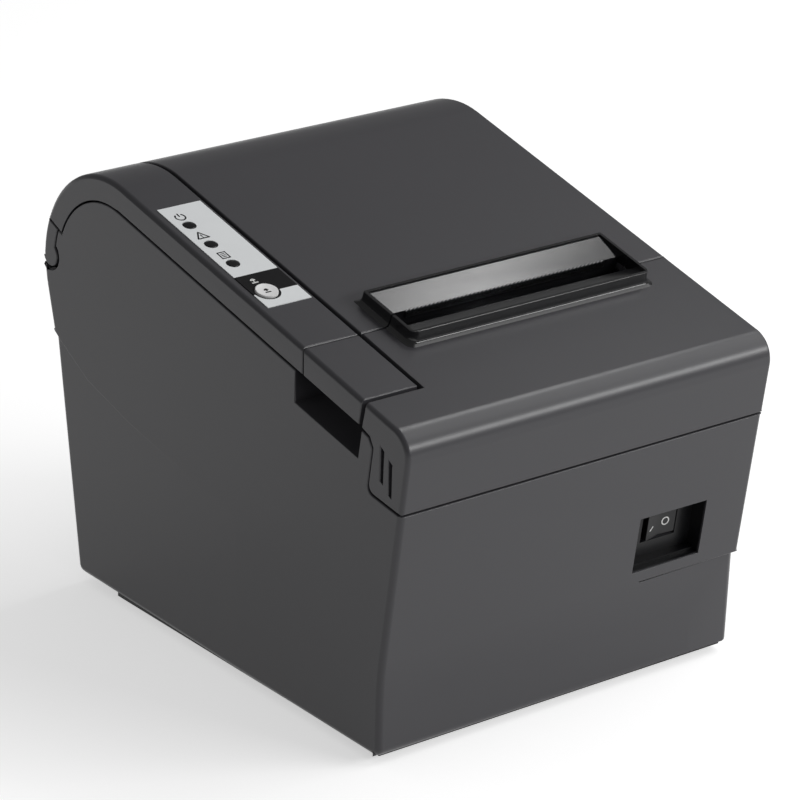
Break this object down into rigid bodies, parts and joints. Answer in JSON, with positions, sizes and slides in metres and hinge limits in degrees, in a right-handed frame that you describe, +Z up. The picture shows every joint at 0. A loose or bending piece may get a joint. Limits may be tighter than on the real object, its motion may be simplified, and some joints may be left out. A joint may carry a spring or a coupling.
{
  "type": "receipt printer",
  "caption": "Thermal receipt printer with drop-in roll well, hinged roll cover, sliding front cover, operation panel strip, release tab and rear connector recess.",
  "frame": {"origin": "middle of the footprint, on the underside of the rubber feet", "axes": "+X to the right seen from the front, +Y from the paper exit to the hinge at the back, +Z up"},
  "size_m": [0.145, 0.195, 0.148],
  "materials": {
    "casing": "fine satin grain",
    "casing_dark": "satin",
    "label": "satin film",
    "lens": "clear gloss",
    "button": "gloss",
    "steel": "brushed",
    "blade": "ground",
    "frame_metal": "zinc plated",
    "aluminium": "anodised",
    "rubber": "matt",
    "board": "lacquered",
    "nylon": "natural",
    "brass": "turned",
    "head": "glazed",
    "motor": "satin",
    "knob": "satin",
    "shell": "plated",
    "port_black": "satin",
    "cable": "film"
  },
  "bodies": {
    "case": {"main_case": "casing", "base_plate": "frame_metal", "rubber_feet": "rubber", "chassis_posts": "steel", "case_screws": "steel", "operation_panel": "casing", "panel_label": "label", "status_lenses": "lens", "panel_board": "board", "tact_switch": "port_black", "tab_pin": "steel", "hinge_pins": "steel", "mechanism_frame": "frame_metal", "thermal_head": "head", "heat_sink": "aluminium", "head_springs": "steel", "feed_motor": "motor", "idler_pin": "steel", "latch_spring": "steel", "cutter_frame": "motor", "cutter_motor": "motor", "switch_housing": "port_black", "paper_well": "casing_dark", "paper_end_sensor": "port_black", "cover_sensor": "port_black", "main_board": "board", "interface_plate": "frame_metal", "interface_board": "board", "serial_connector": "shell", "usb_port": "shell", "drawer_jack": "port_black", "power_inlet": "port_black", "flat_cable": "cable", "mechanism_screws": "steel"},
    "roll_cover_body": {"roll_cover": "casing", "rear_exit_guide": "casing_dark", "tear_bar": "blade", "platen_holder": "casing_dark", "platen_bushes": "nylon", "fixed_blade": "blade"},
    "platen": {"platen_shaft": "steel", "platen_rubber": "rubber", "platen_gear": "nylon"},
    "idler": {"idler_gear": "nylon"},
    "pinion": {"motor_pinion": "brass"},
    "tab": {"release_tab": "casing"},
    "latch": {"latch_shaft": "steel"},
    "button": {"feed_button": "button"},
    "front_cover_body": {"front_cover": "casing", "front_exit_guide": "casing_dark"},
    "cutter_dial": {"cutter_knob": "knob"},
    "blade": {"moving_blade": "blade"},
    "rocker": {"switch_rocker": "casing_dark"},
    "lever": {"near_end_lever": "nylon"}
  },
  "joints": [
    {"name": "roll_cover_hinge", "type": "hinge", "parent": "case", "child": "roll_cover_body", "pos_m": [0, 0.0935, 0.1125], "axis": [-1, 0, 0], "range_deg": [0, 82]},
    {"name": "platen_spin", "type": "hinge", "parent": "roll_cover_body", "child": "platen", "pos_m": [0.008, -0.0385, 0.10303], "axis": [1, 0, 0], "continuous": true},
    {"name": "idler_spin", "type": "hinge", "parent": "case", "child": "idler", "pos_m": [0.0581, -0.03722, 0.08513], "axis": [1, 0, 0], "continuous": true},
    {"name": "pinion_spin", "type": "hinge", "parent": "case", "child": "pinion", "pos_m": [0.0581, -0.04532, 0.0711], "axis": [1, 0, 0], "continuous": true},
    {"name": "tab_lift", "type": "hinge", "parent": "case", "child": "tab", "pos_m": [-0.0541, -0.06106, 0.11493], "axis": [0, 0.9729, 0.2312], "range_deg": [0, 12], "stiffness_Nm_per_rad": 0.02, "springref_deg": -5.73},
    {"name": "latch_turn", "type": "hinge", "parent": "case", "child": "latch", "pos_m": [0.008, -0.062, 0.09503], "axis": [1, 0, 0], "range_deg": [0, 9.6]},
    {"name": "button_press", "type": "slide", "parent": "case", "child": "button", "axis": [0, 0.2312, -0.9729], "range_m": [0, 0.001], "stiffness_N_per_m": 600, "springref_m": -0.0005},
    {"name": "front_cover_slide", "type": "slide", "parent": "case", "child": "front_cover_body", "axis": [0, -1, 0], "range_m": [0, 0.02]},
    {"name": "dial_turn", "type": "hinge", "parent": "case", "child": "cutter_dial", "pos_m": [0.008, -0.06236, 0.11174], "axis": [0, -0.2312, 0.9729], "range_deg": [0, 100]},
    {"name": "blade_slide", "type": "slide", "parent": "case", "child": "blade", "axis": [0, 0.9729, 0.2312], "range_m": [0, 0.00698]},
    {"name": "rocker_tilt", "type": "hinge", "parent": "case", "child": "rocker", "pos_m": [0.0402, -0.08015, 0.05404], "axis": [0, -0.144, 0.9896], "range_deg": [-10, 0]},
    {"name": "lever_turn", "type": "hinge", "parent": "case", "child": "lever", "pos_m": [-0.0375, 0.03, 0.071], "axis": [0, 0, 1], "range_deg": [0, 10], "stiffness_Nm_per_rad": 0.005, "springref_deg": -2.86}
  ],
  "couplings": [
    {"joint": "idler_spin", "follows": "platen_spin", "ratio": -0.5},
    {"joint": "pinion_spin", "follows": "platen_spin", "ratio": 1.4167},
    {"joint": "latch_turn", "follows": "tab_lift", "ratio": 0.8},
    {"joint": "dial_turn", "follows": "blade_slide", "rad_per_m": 250}
  ]
}
